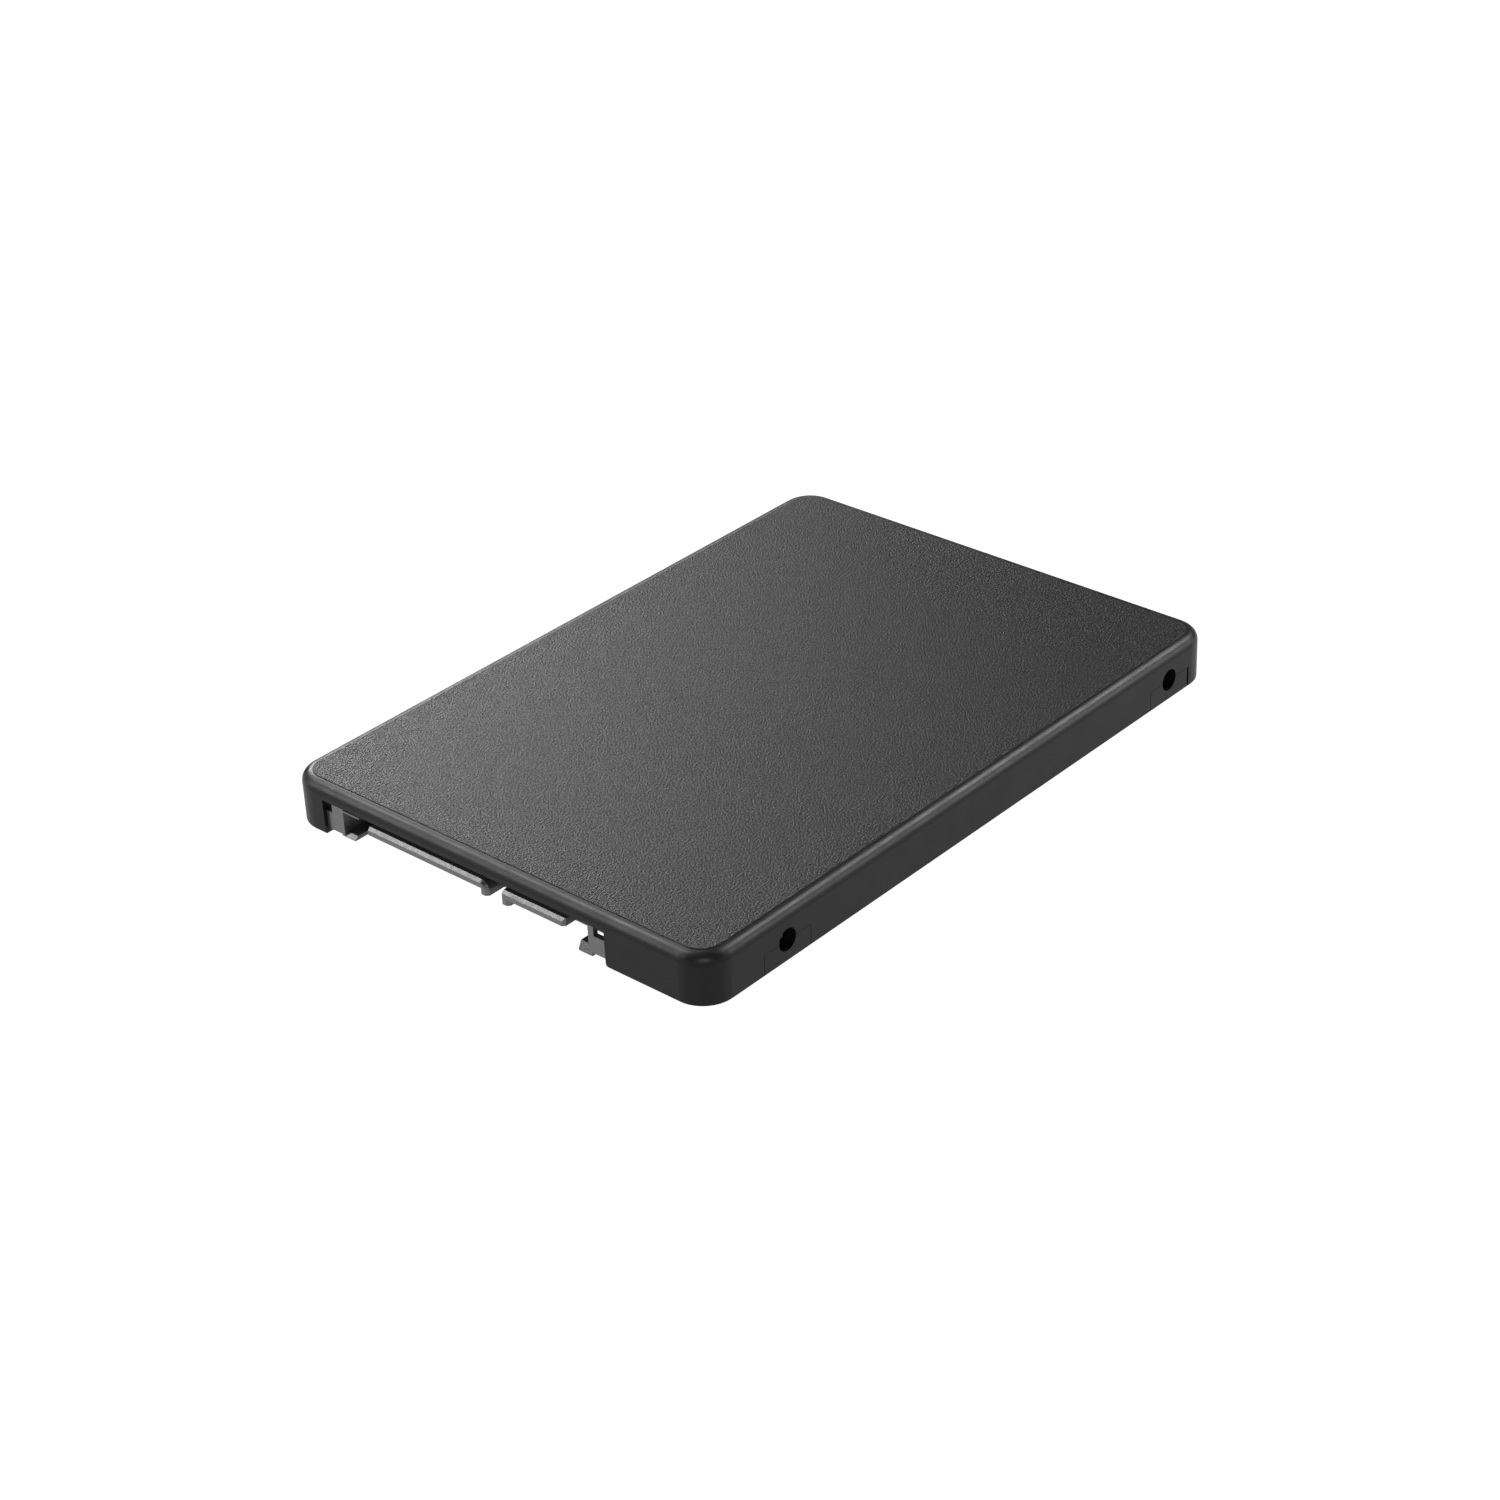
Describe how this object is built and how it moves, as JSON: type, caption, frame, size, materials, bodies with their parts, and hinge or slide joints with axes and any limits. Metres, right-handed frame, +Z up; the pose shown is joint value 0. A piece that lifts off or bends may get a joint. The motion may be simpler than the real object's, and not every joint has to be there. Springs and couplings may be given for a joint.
{
  "type": "solid state drive",
  "caption": "Thin 2.5 inch solid state drive: flat black rectangular case with rounded corners, side and underside mounting holes and a keyed SATA edge plug at one end.",
  "frame": {"origin": "centre of the footprint, on the underside", "axes": "+Z up out of the blank top face, +Y from the connector end to the far end, +X to the right when looking at the connector end from outside with the top up, so the power half of the plug is on the -X side"},
  "size_m": [0.0698, 0.1, 0.007],
  "materials": {
    "case_plastic": "matte, finely grained top; satin edges",
    "base_plastic": "matte",
    "label_film": "satin printed film",
    "connector_plastic": "satin glass-filled nylon",
    "contact_gold": "gold flash over nickel",
    "tinned_metal": "dull tin",
    "insert_brass": "machined",
    "screw_steel": "black zinc",
    "board_laminate": "green solder mask",
    "chip_resin": "moulded epoxy",
    "coil_ferrite": "pressed ferrite",
    "oscillator_can": "plated lid",
    "fuse_ceramic": "glazed",
    "tantalum_resin": "moulded epoxy",
    "capacitor_ceramic": "fired ceramic",
    "resistor_glaze": "glass glaze",
    "thermal_gel": "soft silicone"
  },
  "bodies": {
    "root": {"top_cover": "case_plastic", "bottom_cover": "base_plastic", "underside_label": "label_film", "mounting_insert_front_left": "insert_brass", "mounting_insert_front_right": "insert_brass", "mounting_insert_rear_left": "insert_brass", "mounting_insert_rear_right": "insert_brass", "case_screws": "screw_steel", "board_screws": "screw_steel", "connector_housing": "connector_plastic", "power_contacts": "contact_gold", "signal_contacts": "contact_gold", "connector_hold_down_left": "tinned_metal", "connector_hold_down_right": "tinned_metal", "circuit_board": "board_laminate", "controller_chip": "chip_resin", "cache_memory_chip": "chip_resin", "flash_memory_chip_1": "chip_resin", "flash_memory_chip_2": "chip_resin", "flash_memory_chip_3": "chip_resin", "flash_memory_chip_4": "chip_resin", "power_regulator_chip": "chip_resin", "boot_memory_chip": "chip_resin", "power_coil_1": "coil_ferrite", "power_coil_2": "coil_ferrite", "clock_oscillator": "oscillator_can", "input_fuse": "fuse_ceramic", "tantalum_capacitors": "tantalum_resin", "ceramic_capacitors": "capacitor_ceramic", "chip_resistors": "resistor_glaze", "controller_thermal_pad": "thermal_gel", "flash_thermal_pad_left": "thermal_gel", "flash_thermal_pad_right": "thermal_gel"}
  },
  "joints": []
}
